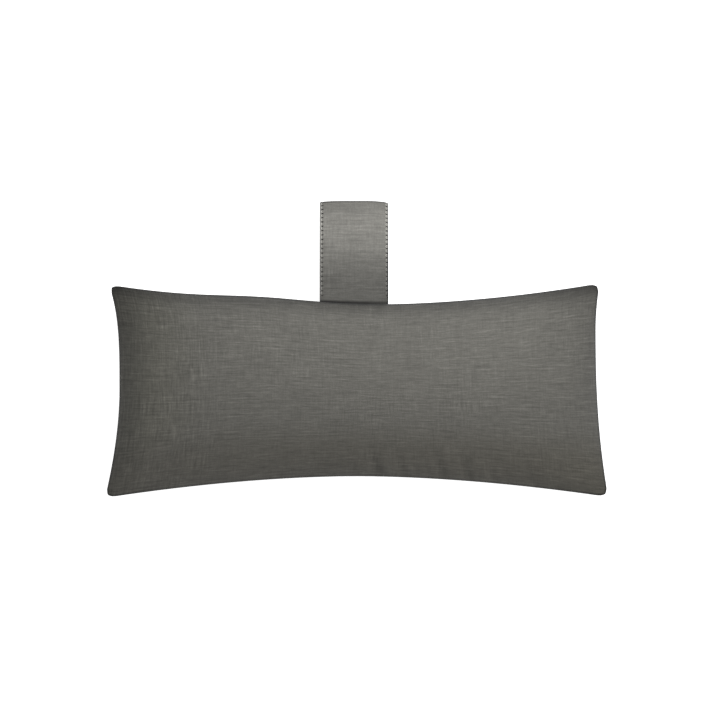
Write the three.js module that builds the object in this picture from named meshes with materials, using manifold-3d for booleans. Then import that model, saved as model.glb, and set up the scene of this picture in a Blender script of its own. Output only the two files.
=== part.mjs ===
// Headrest pillow with a counterweight strap: a stuffed two-panel cushion with a knife-edge seam, and a
// folded strap caught in the middle of its top seam. The strap goes over a chair back or a table's head
// rail, and the steel plate sewn into its tail balances the pillow.
//
// Millimetres, +Z up. The pillow lies on its back. The origin is the centre of its flattened base, +X runs
// along its length, and +Y runs towards the strap. The strap falls to the table, folds, and its tail lies
// under it, pointing back at the pillow.

import * as THREE from 'three';
import { mergeVertices } from 'three/addons/utils/BufferGeometryUtils.js';
import Module from 'manifold-3d';

// ---------------------------------------------------------------- driving dimensions

const GAP = 0.3; // kept between pieces that touch
const CLOTH = 1.2; // one panel with its weave, as built

const PILLOW = {
  topWidth: 497, // corner to corner along the strap edge, before the corners are rounded
  waistWidth: 484.6, // across the middle, where the ends pull in
  bottomWidth: 511, // corner to corner along the lower edge
  endHeight: 216, // corner to corner along each end
  waistHeight: 176.5, // across the middle, where the long sides pull in
  pullPower: 1.8, // how the sides curve in between their corners
  cornerRadius: 7,
  seamZ: 42, // height of the seam above the table
  cornerDroop: 8, // how far the free corners hang below that
  frontCrown: 53, // rise of the front above the seam's edge
  backCrown: 51, // fall of the back below it, before the table flattens it
  baseShare: 0.383, // the share of the outline that lies quite flat
  baseRise: 4, // how the flattened back lifts off beyond that, per unit of outline
  lengthPower: 5, // how square the crown is along X
  heightPower: 2, // and along Y
  crownPower: 0.75, // how steeply it leaves the seam
  longStations: 14, // along each long side's edge
  endStations: 8,
  crownStations: 8, // from the middle out to the seam
  baseStation: 2, // the one that outlines the flat base
};

const SEAM = {
  edge: 1.35, // half the thickness of the knife edge
  valley: 0.6, // half the mouth of the groove that the seam thread lies in
  mouthInset: 0.25, // from the seam line to the groove's mouth
  grooveInset: 1.2, // and to its bottom
  foldInset: [3.3, 3.7], // where the two layers of a turned edge part, along Y and along X
  lip: 10, // seam allowance turned inside
  threadRadius: 0.3,
  threadInset: 0.35,
  strapClearance: 1, // from the end of a thread to the strap
  closingFrom: 11, // the hand-closed stuffing opening, along X on the lower edge
  closingTo: 90,
};

const FIBRE = {
  inset: [6, 8], // from the seam line, along Y and along X
  offset: 2.4, // below the cover's outside
  lipClearance: 0.8, // from the edge of the turned-in allowance
  lipGap: 0.35, // above and below it
};

const STRAP = {
  centreX: -3,
  width: 70,
  layer: 1, // one strap layer
  rootDepth: 9, // caught inside the seam
  rootProud: 2.7, // and standing out of it
  rootThickness: 2.6,
  slotClearance: 0.4, // round the root, in the seam
  slotDepth: 3, // and behind its end
  slotMouth: 5, // the slot is cut this far past the seam line
  start: 4.8, // the hinged run begins this far from the seam line
  reach: 103, // seam line to the outside of the fold, seen from above
  rootSlope: 6, // degrees below level as it leaves the seam
  foldSlope: 38, // degrees below level as it reaches the fold
  foldRadius: 3.3, // to the middle of the strap
  foldRelief: 6.5, // the hinged run ends this far short of the fold's start
  stations: 12,
};

const WEIGHT = { width: 56, length: 76, thickness: 6, cornerRadius: 4, margin: 2 * GAP };

const TAIL = {
  end: 64, // Y of its hemmed end, tucked under the pillow's edge
  cornerRadius: 3,
  pocketMargin: 3.2, // cloth from the plate's edge to the foot of the pocket's swell
  pocketFoot: 1, // the swell's foot goes this much further, down into the lining
  pocketTaper: 3,
  pocketSink: 0.2, // how deep that foot is in the lining
  rowMargin: 2, // from the swell to the rows of stitches on each side of it
  rowRelief: 8, // the edge rows end this far short of the fold's outside
};

const STITCH = {
  width: 0.8,
  height: 0.5,
  inset: 2, // from the strap's edge
  rootRelief: 3, // the strap's rows begin this far past the start of the run
  foldRelief: 1, // and end this far short of its end
};

const COLOUR = {
  canvas: { color: 0x716f69, roughness: 0.92, metalness: 0 },
  thread: { color: 0xd9d6cd, roughness: 0.7, metalness: 0 },
  seamThread: { color: 0x4a4945, roughness: 0.8, metalness: 0 },
  fibre: { color: 0xf1f0ec, roughness: 1, metalness: 0 },
  steel: { color: 0x8c8e90, roughness: 0.4, metalness: 1 },
};

// ---------------------------------------------------------------- solids

const wasm = await Module();
wasm.setup();

function toManifold(geometry) {
  const bare = geometry.clone();
  bare.deleteAttribute('normal');
  bare.deleteAttribute('uv');
  const merged = mergeVertices(bare, 1e-4);
  return new wasm.Manifold(
    new wasm.Mesh({
      numProp: 3,
      vertProperties: merged.attributes.position.array,
      triVerts: Uint32Array.from(merged.index.array),
    }),
  );
}

function fromManifold(solid) {
  const mesh = solid.getMesh();
  const geometry = new THREE.BufferGeometry();
  geometry.setAttribute('position', new THREE.BufferAttribute(mesh.vertProperties, 3));
  geometry.setIndex(new THREE.BufferAttribute(mesh.triVerts, 1));
  geometry.computeVertexNormals();
  return geometry;
}

function cut(geometry, ...tools) {
  let solid = toManifold(geometry);
  for (const tool of tools) solid = solid.subtract(toManifold(tool));
  return fromManifold(solid);
}

function join(geometry, other) {
  return fromManifold(toManifold(geometry).add(toManifold(other)));
}

function box(low, high) {
  const size = high.map((value, axis) => value - low[axis]);
  const middle = high.map((value, axis) => (value + low[axis]) / 2);
  return new THREE.BoxGeometry(...size).translate(...middle);
}

/** A flat slab whose corners have a radius each, from the lower left one anticlockwise. */
function slab([x0, y0, z0], [x1, y1, z1], radii, curveSegments) {
  const corners = [[x0, y0, 1, 1], [x1, y0, -1, 1], [x1, y1, -1, -1], [x0, y1, 1, -1]];
  const shape = new THREE.Shape();
  corners.forEach(([x, y, inX, inY], i) => {
    const r = radii[i];
    const start = Math.PI + (i * Math.PI) / 2;
    if (r > 0) shape.absarc(x + inX * r, y + inY * r, r, start, start + Math.PI / 2);
    else shape.lineTo(x, y);
  });
  const options = { depth: z1 - z0, bevelEnabled: false, steps: 1, curveSegments };
  return new THREE.ExtrudeGeometry(shape, options).translate(0, 0, z0);
}

/** A closed body from a top point, loops of equal count that go round +Z, and a last point. */
function loopSolid(first, loops, last) {
  const count = loops[0].length;
  const points = [first, ...loops.flat(), last];
  const faces = [];
  const at = (loop, index) => 1 + loop * count + (index % count);
  for (let j = 0; j < count; j++) {
    faces.push(0, at(0, j), at(0, j + 1));
    for (let i = 0; i + 1 < loops.length; i++) {
      const quad = [at(i, j), at(i + 1, j), at(i + 1, j + 1), at(i, j + 1)];
      const [a, b, c, d] = quad.map((index) => points[index]);
      // the shorter diagonal, so that two pieces' facing sides are split alike
      const order = a.distanceTo(c) < b.distanceTo(d) ? [0, 1, 2, 0, 2, 3] : [1, 2, 3, 1, 3, 0];
      faces.push(...order.map((corner) => quad[corner]));
    }
    faces.push(at(loops.length - 1, j + 1), at(loops.length - 1, j), points.length - 1);
  }
  const geometry = new THREE.BufferGeometry();
  const flat = points.flatMap((p) => [p.x, p.y, p.z]);
  geometry.setAttribute('position', new THREE.Float32BufferAttribute(flat, 3));
  geometry.setIndex(faces);
  geometry.computeVertexNormals();
  return geometry;
}

const canvas = new THREE.MeshStandardMaterial(COLOUR.canvas);
const thread = new THREE.MeshStandardMaterial(COLOUR.thread);
const seamThread = new THREE.MeshStandardMaterial(COLOUR.seamThread);
const fibre = new THREE.MeshStandardMaterial(COLOUR.fibre);
const steel = new THREE.MeshStandardMaterial(COLOUR.steel);

const group = new THREE.Group();

function add(name, geometry, material) {
  const mesh = new THREE.Mesh(geometry, material);
  mesh.name = name;
  group.add(mesh);
}

// ---------------------------------------------------------------- the pillow's form

const STRAP_LEFT = STRAP.centreX - STRAP.width / 2;
const STRAP_RIGHT = STRAP.centreX + STRAP.width / 2;

const power = (value, exponent) => Math.abs(value) ** exponent;

/** (u, v) in the unit square to the pillow's plan: sides pulled in between corners, corners rounded. */
function plan(u, v) {
  const endWidth = v > 0 ? PILLOW.topWidth : PILLOW.bottomWidth;
  const pullX = (endWidth - PILLOW.waistWidth) * power(v, PILLOW.pullPower);
  const pullY = (PILLOW.endHeight - PILLOW.waistHeight) * power(u, PILLOW.pullPower);
  const halfWidth = (PILLOW.waistWidth + pullX) / 2;
  const halfHeight = (PILLOW.waistHeight + pullY) / 2;
  const r = PILLOW.cornerRadius;
  let x = Math.abs(u) * halfWidth;
  let y = Math.abs(v) * halfHeight;
  const pastX = x - (halfWidth - r);
  const pastY = y - (halfHeight - r);
  if (pastX > 0 && pastY > 0) {
    const pull = Math.max(pastX, pastY) / Math.hypot(pastX, pastY);
    x = halfWidth - r + pastX * pull;
    y = halfHeight - r + pastY * pull;
  }
  return [Math.sign(u) * x, Math.sign(v) * y];
}

function seamHeight(u, v) {
  return PILLOW.seamZ - PILLOW.cornerDroop * power(u * v, 3);
}

/** How full the pillow is at (u, v), from 0 at the seam to 1 in the middle, inset by so many mm. */
function fullness(u, v, inset = 0) {
  const along = Math.min(1, Math.abs(u) * (1 + (2 * inset) / PILLOW.waistWidth));
  const across = Math.min(1, Math.abs(v) * (1 + (2 * inset) / PILLOW.waistHeight));
  const full = (1 - along ** PILLOW.lengthPower) * (1 - across ** PILLOW.heightPower);
  return full ** PILLOW.crownPower;
}

const frontZ = (inset) => (u, v) =>
  seamHeight(u, v) + SEAM.edge + (PILLOW.frontCrown - inset) * fullness(u, v, inset);

/** The back, flattened where it lies: its base loop is level, and the rest of the flat lifts a little. */
const backZ = (inset) => (u, v) => {
  const free = seamHeight(u, v) - SEAM.edge - (PILLOW.backCrown - inset) * fullness(u, v, inset);
  const beyond = Math.max(0, Math.max(Math.abs(u), Math.abs(v)) - PILLOW.baseShare);
  return Math.max(inset, free) + PILLOW.baseRise * beyond * fullness(u, v, inset);
};

const seamZ = (offset) => (u, v) => seamHeight(u, v) + offset;

/** Stations from -1 to 1, with two extra ones inside each corner's round. */
function stations(count, corner) {
  const list = [-1, -1 + corner / 2];
  for (let i = 0; i <= count; i++) list.push((2 * i / count - 1) * (1 - corner));
  list.push(1 - corner / 2);
  return list;
}

/** The unit square's edge, anticlockwise from its lower left corner. */
function squareEdge() {
  const long = stations(PILLOW.longStations, (2 * PILLOW.cornerRadius) / PILLOW.bottomWidth);
  const short = stations(PILLOW.endStations, (2 * PILLOW.cornerRadius) / PILLOW.endHeight);
  return [
    ...long.map((t) => [t, -1]),
    ...short.map((t) => [1, t]),
    ...long.map((t) => [-t, 1]),
    ...short.map((t) => [-1, -t]),
  ];
}

const EDGE = squareEdge();

/** One loop round the pillow: the square's edge shrunk by (su, sv), at a height. */
function loop([su, sv], height) {
  return EDGE.map(([u, v]) => {
    const [x, y] = plan(u * su, v * sv);
    return new THREE.Vector3(x, y, height(u * su, v * sv));
  });
}

/** The shrink that puts a loop so many mm inside the seam line, along Y and along X. */
function insetBy(alongY, alongX = alongY) {
  const meanHeight = (PILLOW.waistHeight + PILLOW.endHeight) / 2;
  return [1 - (2 * alongX) / PILLOW.topWidth, 1 - (2 * alongY) / meanHeight];
}

/** Loops from near the middle out to the shrink given. They get closer together towards the seam. */
function crownLoops([su, sv], height) {
  const loops = [];
  for (let i = 1; i < PILLOW.crownStations; i++) {
    const even = Math.sin((Math.PI / 2) * (i / PILLOW.crownStations));
    const s = i === PILLOW.baseStation ? PILLOW.baseShare : even;
    loops.push(loop([s * su, s * sv], height));
  }
  loops.push(loop([su, sv], height));
  return loops;
}

const apex = (height) => new THREE.Vector3(0, 0, height(0, 0));

const MOUTH = insetBy(SEAM.mouthInset);
const GROOVE = insetBy(SEAM.grooveInset);
const TURNED_EDGE = insetBy(...SEAM.foldInset);
const LIP_EDGE = insetBy(SEAM.lip);
const FIBRE_EDGE = insetBy(...FIBRE.inset);
const LIP_RECESS = insetBy(SEAM.lip + FIBRE.lipClearance);

function frontPanel() {
  const [outside, inside] = [frontZ(0), frontZ(CLOTH)];
  const loops = [
    ...crownLoops([1, 1], outside),
    loop(MOUTH, seamZ(SEAM.valley)),
    loop(GROOVE, seamZ(GAP / 2)),
    loop(LIP_EDGE, seamZ(GAP / 2)),
    loop(LIP_EDGE, seamZ(SEAM.edge)),
    loop(TURNED_EDGE, seamZ(SEAM.edge)),
    ...crownLoops(TURNED_EDGE, inside).reverse(),
  ];
  return loopSolid(apex(outside), loops, apex(inside));
}

function backPanel() {
  const [outside, inside] = [backZ(0), backZ(CLOTH)];
  const loops = [
    ...crownLoops(TURNED_EDGE, inside),
    loop(TURNED_EDGE, seamZ(-SEAM.edge)),
    loop(LIP_EDGE, seamZ(-SEAM.edge)),
    loop(LIP_EDGE, seamZ(-GAP / 2)),
    loop(GROOVE, seamZ(-GAP / 2)),
    loop(MOUTH, seamZ(-SEAM.valley)),
    ...crownLoops([1, 1], outside).reverse(),
  ];
  return loopSolid(apex(inside), loops, apex(outside));
}

/** The stuffing, with a recess all round for the turned-in seam allowance. */
function fibreFill() {
  const [front, back] = [frontZ(FIBRE.offset), backZ(FIBRE.offset)];
  const clear = SEAM.edge + FIBRE.lipGap;
  const loops = [
    ...crownLoops(FIBRE_EDGE, front),
    loop(FIBRE_EDGE, seamZ(clear)),
    loop(LIP_RECESS, seamZ(clear)),
    loop(LIP_RECESS, seamZ(-clear)),
    loop(FIBRE_EDGE, seamZ(-clear)),
    ...crownLoops(FIBRE_EDGE, back).reverse(),
  ];
  return loopSolid(apex(front), loops, apex(back));
}

// ---------------------------------------------------------------- the seam's threads

/** A thread of six sides along points that lie in the seam's groove. */
function seamThreadSolid(points) {
  const sides = 6;
  const vertices = [];
  points.forEach((p, i) => {
    const before = points[Math.max(i - 1, 0)];
    const after = points[Math.min(i + 1, points.length - 1)];
    const outward = new THREE.Vector3(after.y - before.y, before.x - after.x, 0).normalize();
    for (let k = 0; k < sides; k++) {
      const angle = (2 * Math.PI * k) / sides;
      const v = p.clone().addScaledVector(outward, SEAM.threadRadius * Math.cos(angle));
      v.z += SEAM.threadRadius * Math.sin(angle);
      vertices.push(v.x, v.y, v.z);
    }
  });
  const faces = [];
  for (let i = 0; i + 1 < points.length; i++) {
    for (let k = 0; k < sides; k++) {
      const a = i * sides + k;
      const b = i * sides + ((k + 1) % sides);
      faces.push(a, a + sides, b, b, a + sides, b + sides);
    }
  }
  const end = (points.length - 1) * sides;
  for (let k = 1; k + 1 < sides; k++) {
    faces.push(0, k, k + 1);
    faces.push(end, end + k + 1, end + k);
  }
  const geometry = new THREE.BufferGeometry();
  geometry.setAttribute('position', new THREE.Float32BufferAttribute(vertices, 3));
  geometry.setIndex(faces);
  geometry.computeVertexNormals();
  return geometry;
}

/** The point where the seam line crosses x on the lower (-1) or strap (1) edge. */
function seamPointAt(line, x, side) {
  for (let i = 0; i < line.length; i++) {
    const a = line[i];
    const b = line[(i + 1) % line.length];
    const share = (x - a.x) / (b.x - a.x);
    if (Math.sign(a.y) === side && Math.sign(b.y) === side && share >= 0 && share <= 1) {
      return { point: a.clone().lerp(b, share), next: (i + 1) % line.length };
    }
  }
  throw new Error(`the seam doesn't cross x = ${x}`);
}

/** The seam line from one crossing to another, anticlockwise, a little short of both. */
function seamStretch(from, to) {
  const line = loop(insetBy(SEAM.threadInset), seamZ(0));
  const start = seamPointAt(line, ...from);
  const stop = seamPointAt(line, ...to);
  const points = [start.point];
  for (let i = start.next; i !== stop.next; i = (i + 1) % line.length) points.push(line[i]);
  points.push(stop.point);
  return points;
}

function buildSeamThreads() {
  const { closingFrom, closingTo, strapClearance } = SEAM;
  const right = seamStretch([closingTo + GAP, -1], [STRAP_RIGHT + strapClearance, 1]);
  const left = seamStretch([STRAP_LEFT - strapClearance, 1], [closingFrom - GAP, -1]);
  const closing = seamStretch([closingFrom + GAP, -1], [closingTo - GAP, -1]);
  add('seam_thread_right', seamThreadSolid(right), seamThread);
  add('seam_thread_left', seamThreadSolid(left), seamThread);
  add('closing_seam_thread', seamThreadSolid(closing), seamThread);
}

// ---------------------------------------------------------------- the strap

const SEAM_Y = PILLOW.waistHeight / 2;
const FOLD = {
  y: SEAM_Y + STRAP.reach - STRAP.foldRadius - STRAP.layer - GAP / 2,
  z: (2 * STRAP.layer + GAP + WEIGHT.thickness + 2 * GAP) / 2,
};

/** The middle of the hinged run, from the seam down to the fold, in the YZ plane (x holds Y, y holds Z). */
function strapLine() {
  const down = THREE.MathUtils.degToRad(STRAP.foldSlope);
  const start = new THREE.Vector2(SEAM_Y, PILLOW.seamZ);
  const end = new THREE.Vector2(
    FOLD.y + STRAP.foldRadius * Math.sin(down),
    FOLD.z + STRAP.foldRadius * Math.cos(down),
  );
  const rootFall = Math.tan(THREE.MathUtils.degToRad(STRAP.rootSlope));
  const foldFall = Math.tan(down);
  const span = end.x - start.x;
  const along = (foldFall * span - (start.y - end.y)) / (foldFall - rootFall);
  const bend = new THREE.Vector2(start.x + along, start.y - rootFall * along);
  return new THREE.QuadraticBezierCurve(start, bend, end);
}

/** A strip of the hinged run between two heights off its middle, from the first to the last mm of it. */
function runStrip(low, high, x0, x1, from = STRAP.start, relief = STRAP.foldRelief) {
  const line = strapLine();
  const length = line.getLength();
  const upper = [];
  const lower = [];
  for (let i = 0; i <= STRAP.stations; i++) {
    const share = (from + ((length - relief - from) * i) / STRAP.stations) / length;
    const point = line.getPointAt(share);
    const tangent = line.getTangentAt(share);
    const normal = new THREE.Vector2(-tangent.y, tangent.x);
    upper.push(point.clone().addScaledVector(normal, high));
    lower.push(point.clone().addScaledVector(normal, low));
  }
  return extrudeAcross([...lower, ...upper.reverse()], x0, x1);
}

/** Extrudes a YZ outline along X. */
function extrudeAcross(outline, x0, x1) {
  const shape = new THREE.Shape(outline);
  const geometry = new THREE.ExtrudeGeometry(shape, { depth: x1 - x0, bevelEnabled: false, steps: 1 });
  const toRow = new THREE.Matrix4().set(0, 0, 1, x0, 1, 0, 0, 0, 0, 1, 0, 0, 0, 0, 0, 1);
  return geometry.applyMatrix4(toRow);
}

function strapRoot() {
  const y0 = SEAM_Y - STRAP.rootDepth;
  const y1 = SEAM_Y + STRAP.rootProud;
  const half = STRAP.rootThickness / 2;
  return box([STRAP_LEFT, y0, PILLOW.seamZ - half], [STRAP_RIGHT, y1, PILLOW.seamZ + half]);
}

/** The slot in the seam that the strap's root goes through. */
function strapSlot() {
  const clear = STRAP.slotClearance;
  const y0 = SEAM_Y - STRAP.rootDepth - STRAP.slotDepth;
  const y1 = SEAM_Y + STRAP.slotMouth;
  const half = STRAP.rootThickness / 2 + clear;
  return box([STRAP_LEFT - clear, y0, PILLOW.seamZ - half], [STRAP_RIGHT + clear, y1, PILLOW.seamZ + half]);
}

function buildStrapRun() {
  const face = [GAP / 2, GAP / 2 + STRAP.layer];
  const stitch = [face[1] + GAP, face[1] + GAP + STITCH.height];
  add('strap_face', runStrip(...face, STRAP_LEFT, STRAP_RIGHT), canvas);
  add('strap_lining', runStrip(-face[1], -face[0], STRAP_LEFT, STRAP_RIGHT), canvas);
  const left = STRAP_LEFT + STITCH.inset;
  const right = STRAP_RIGHT - STITCH.inset - STITCH.width;
  const from = STRAP.start + STITCH.rootRelief;
  const relief = STRAP.foldRelief + STITCH.foldRelief;
  add('strap_left_stitching', runStrip(...stitch, left, left + STITCH.width, from, relief), thread);
  add('strap_right_stitching', runStrip(...stitch, right, right + STITCH.width, from, relief), thread);
}

// ---------------------------------------------------------------- the tail and its weight

const TAIL_TIP = SEAM_Y + STRAP.reach; // the outside of the fold
const TAIL_TOP = 2 * STRAP.layer + GAP;
const PLATE_BASE = STRAP.layer + WEIGHT.margin;
const PLATE_TOP = PLATE_BASE + WEIGHT.thickness;
const POCKET_TOP = PLATE_TOP + GAP + STRAP.layer;
const PLATE_Y0 = TAIL.end + 2 * TAIL.pocketMargin + TAIL.rowMargin;
const PLATE_Y1 = PLATE_Y0 + WEIGHT.length;

function tailLayer(z0, z1) {
  const r = TAIL.cornerRadius;
  return slab([STRAP_LEFT, TAIL.end, z0], [STRAP_RIGHT, TAIL_TIP, z1], [r, r, 0, 0], 3);
}

/** A rectangle about the plate, grown by so many mm, as a loop at one height. */
function plateLoop(grow, z) {
  const x0 = STRAP.centreX - WEIGHT.width / 2 - grow;
  const x1 = STRAP.centreX + WEIGHT.width / 2 + grow;
  const [y0, y1] = [PLATE_Y0 - grow, PLATE_Y1 + grow];
  const corners = [[x0, y0], [x1, y0], [x1, y1], [x0, y1]];
  return corners.map(([x, y]) => new THREE.Vector3(x, y, z));
}

/** The lining's swell over the plate. Its foot is sunk in the lining, so that the two join. */
function pocketSwell() {
  const foot = TAIL.pocketMargin + TAIL.pocketFoot;
  const footZ = STRAP.layer + GAP + TAIL.pocketSink;
  const middle = new THREE.Vector3(STRAP.centreX, (PLATE_Y0 + PLATE_Y1) / 2, 0);
  const loops = [plateLoop(foot - TAIL.pocketTaper, POCKET_TOP), plateLoop(foot, footZ)];
  return loopSolid(middle.clone().setZ(POCKET_TOP), loops, middle.clone().setZ(footZ));
}

function pocketHollow() {
  const [low, , high] = plateLoop(WEIGHT.margin, 0);
  return box([low.x, low.y, STRAP.layer], [high.x, high.y, PLATE_TOP + GAP]);
}

function weightPlate() {
  const [low, , high] = plateLoop(0, 0);
  const radii = Array(4).fill(WEIGHT.cornerRadius);
  return slab([low.x, low.y, PLATE_BASE], [high.x, high.y, PLATE_TOP], radii, 4);
}

function buildTail() {
  const lining = join(tailLayer(STRAP.layer + GAP, TAIL_TOP), pocketSwell());
  add('tail_face', tailLayer(0, STRAP.layer), canvas);
  add('tail_lining', cut(lining, pocketHollow()), canvas);
  add('counterweight_plate', weightPlate(), steel);

  const z0 = TAIL_TOP + GAP;
  const z1 = z0 + STITCH.height;
  const left = STRAP_LEFT + STITCH.inset;
  const right = STRAP_RIGHT - STITCH.inset - STITCH.width;
  const hemY = TAIL.end + STITCH.inset;
  const crossY = PLATE_Y1 + TAIL.pocketMargin + TAIL.rowMargin;
  const rowEnd = TAIL_TIP - TAIL.rowRelief;
  const [crossLeft, crossRight] = [left + STITCH.width + GAP, right - GAP];
  add('tail_left_stitching', box([left, hemY, z0], [left + STITCH.width, rowEnd, z1]), thread);
  add('tail_right_stitching', box([right, hemY, z0], [right + STITCH.width, rowEnd, z1]), thread);
  add('end_hem_stitching', box([crossLeft, hemY, z0], [crossRight, hemY + STITCH.width, z1]), thread);
  const crossRow = box([crossLeft, crossY, z0], [crossRight, crossY + STITCH.width, z1]);
  add('pocket_cross_stitching', crossRow, thread);
}

// ---------------------------------------------------------------- assembly

add('front_panel', cut(frontPanel(), strapSlot()), canvas);
add('back_panel', cut(backPanel(), strapSlot()), canvas);
add('fibre_fill', fibreFill(), fibre);
buildSeamThreads();
add('strap_root', strapRoot(), canvas);
buildStrapRun();
buildTail();

export default group;
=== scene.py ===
"""The looks of the headrest pillow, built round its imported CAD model.

Metres, in the part's own frame: +X along the pillow, +Y towards the strap, +Z up, and the pillow lies on its
back. (u, v) run from -1 to 1 over each cover panel, and s runs along the strap from the seam line.
"""

import math

import bpy
import numpy as np
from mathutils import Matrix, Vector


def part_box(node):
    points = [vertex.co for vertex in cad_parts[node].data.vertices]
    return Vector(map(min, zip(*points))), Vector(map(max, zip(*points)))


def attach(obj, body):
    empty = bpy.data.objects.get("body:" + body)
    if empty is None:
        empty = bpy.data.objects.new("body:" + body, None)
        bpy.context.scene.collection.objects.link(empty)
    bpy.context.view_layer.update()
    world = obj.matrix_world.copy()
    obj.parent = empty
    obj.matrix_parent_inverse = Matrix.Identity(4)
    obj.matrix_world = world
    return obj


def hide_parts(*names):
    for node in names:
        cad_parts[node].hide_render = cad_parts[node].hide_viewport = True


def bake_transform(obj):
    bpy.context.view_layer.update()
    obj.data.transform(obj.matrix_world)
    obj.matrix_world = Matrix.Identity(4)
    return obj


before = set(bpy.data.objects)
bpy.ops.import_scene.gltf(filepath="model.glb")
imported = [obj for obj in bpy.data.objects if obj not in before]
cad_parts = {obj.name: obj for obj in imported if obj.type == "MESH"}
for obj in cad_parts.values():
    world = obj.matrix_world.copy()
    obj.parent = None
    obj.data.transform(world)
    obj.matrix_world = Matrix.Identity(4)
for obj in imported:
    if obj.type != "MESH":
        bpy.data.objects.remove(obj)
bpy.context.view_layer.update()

MM = 0.001

# ---------------------------------------------------------------- driving dimensions

# The cover's outline: half sizes at the waist and how far each corner stands out past them.
LEFT_WAIST_X = 242.3 * MM
RIGHT_WAIST_X = 243.6 * MM
WAIST_X = (LEFT_WAIST_X + RIGHT_WAIST_X) / 2
LEFT_PULL = ((11.5 * MM, 3.5), (15.3 * MM, 1.8))  # (amount, power), above the waist and below it
RIGHT_PULL = ((4.7 * MM, 2.0), (13.2 * MM, 2.4))
RIGHT_WAIST_V = 0.55  # the right side is narrowest above the middle
TOP_WAIST_Y = 85.5 * MM
TOP_PULL = (20.6 * MM, 22.1 * MM)  # at the left corner and at the right one
TOP_POWER = (1.9, 1.96)
BOTTOM_WAIST_Y = 89.5 * MM
BOTTOM_PULL = (22.3 * MM, 21.4 * MM)
BOTTOM_POWER = 1.8
SHOULDER_X = -95 * MM  # the upper edge bulges a little, left of the strap
SHOULDER_WIDTH = 72 * MM
SHOULDER_RISE = 5 * MM
CORNER_RADIUS = 10.5 * MM
CLOSING = (11 * MM, 90 * MM)  # the hand-closed opening, along X on the lower edge

# The cover's form, as in the CAD model.
SEAM_Z = 42 * MM
CORNER_DROOP = 8 * MM
FRONT_CROWN = 53 * MM
BACK_CROWN = 51 * MM
LENGTH_POWER = 5
HEIGHT_POWER = 2
CROWN_POWER = 0.75
CUT_HALF_X = 254 * MM  # the panels as cut, without their seam allowance
CUT_HALF_Y = 108 * MM

# The cloth simulation.
SIM_GRID = (117, 49)  # points along X and along Y
SIM_FRAMES = 24
SIM_FULLNESS = 0.93  # the share of the crown that it starts from
SIM_REACH = 14 * MM  # it moves the cloth no further than this from its full form

CLOTH = 1.1 * MM
SEAM_ROUND = 1.2 * MM  # height of the turned edge beside the seam
SEAM_ROUND_WIDTH = 0.55 * MM
SEAM_GAP = 0.15 * MM  # half the gap between the two turned edges
STRAP_GAP = 1.35 * MM  # and where the strap comes out between them
GAP_WIDTH = 6 * MM  # the panels close up over this much of the cloth beside a gap
LIP = 9.5 * MM  # depth of the turned-in seam allowance
TURN = 2.8 * MM  # from the seam to where the allowance leaves the panel's inside
PUCKER_LIGHT_AND_SHADE = 0.16 / MM  # painted light on a gather's crest, and painted shade in its hollow
FILLING_INSET = 7.5 * MM

# The strap's path in the YZ plane, as in the CAD model.
STRAP_X = -3 * MM
STRAP_HALF = 35 * MM
HINGE = (88.25 * MM, SEAM_Z)
RUN_BEND = (152.78 * MM, 35.22 * MM)
RUN_END = (188.83 * MM, 7.05 * MM)
RUN_COUNT = 400  # points along it
FOLD = (186.8 * MM, 4.45 * MM)
FOLD_RADIUS = 3.3 * MM
FOLD_FROM = math.radians(52)
TAIL_END_Y = 64 * MM
ROOT_DEPTH = 9 * MM
ROOT_END = 6 * MM
LAYER = 1 * MM
LAYER_GAP = 0.15 * MM  # half the gap between the strap's two layers
LAYER_EDGE = 1.15 * MM  # width of their rounded edges
PLATE_PLAY = 0.3 * MM
FOLD_REACH = 1.5 * MM  # the cloth's fold stands out this much past the CAD model's
FOLD_CROWN = 1.45 * MM  # and its corners fall back from its middle

STITCH_PITCH = 4.85 * MM
STITCH_INSET = 1.9 * MM
HOLE_SHIFT = 0.7 * MM  # the needle holes lie this far to the right of the row
STITCH_BOW = 1.15 * MM  # and each stitch bows this far to their left
STITCH_LENGTH = 3.2 * MM
STITCH_RADIUS = 0.26 * MM
HOLE_SIZE = (0.9 * MM, 1.0 * MM)  # half its width, and half its length along the row
STITCH_START = 6.6 * MM
CROSS_ROW_GAP = 5.6 * MM  # from the plate to the row that closes its pocket
GROOVE_WIDTH = 0.9 * MM
GROOVE_DEPTH = 0.34 * MM
HOLE_DEPTH = 0.3 * MM

BACK_CUT = 0.6  # the back panel is cut this far from the front one in the procedural cloth
STRAP_CUT = (0.7, 0.4, 0.2)  # and the strap here, with its lining as far below as its outer layer is above
LINEN = (0.098, 0.0950, 0.0842)
STRAP_LINEN = (0.106, 0.1033, 0.0934)
STRAP_SLUBS = 0.78  # weaker than the cover's
THREAD = (0.46, 0.45, 0.42)
SEAM_THREAD = (0.030, 0.029, 0.026)
FIBRE = (0.86, 0.85, 0.82)
STEEL = (0.27, 0.275, 0.28)

CAMERA_DISTANCE = 5.0  # above the seam's plane
SENSOR = 36  # mm
VIEW_WIDTH = 734.5 * MM  # of the seam's plane, across the picture
VIEW_CENTRE = (3.1 * MM, 29.1 * MM)
FLOOR_HALF = 6
FLOOR_GLOW = 0.8  # a backlit table: the floor stays pale in the softest of the shadow
SKY = 0.6
KEY_PLACE = (0.19, 0.38, 0.63)
KEY_SIZE = (0.4, 0.4)
KEY_WATTS = 4.9

SEED = 7


# ---------------------------------------------------------------- mesh helpers

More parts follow.
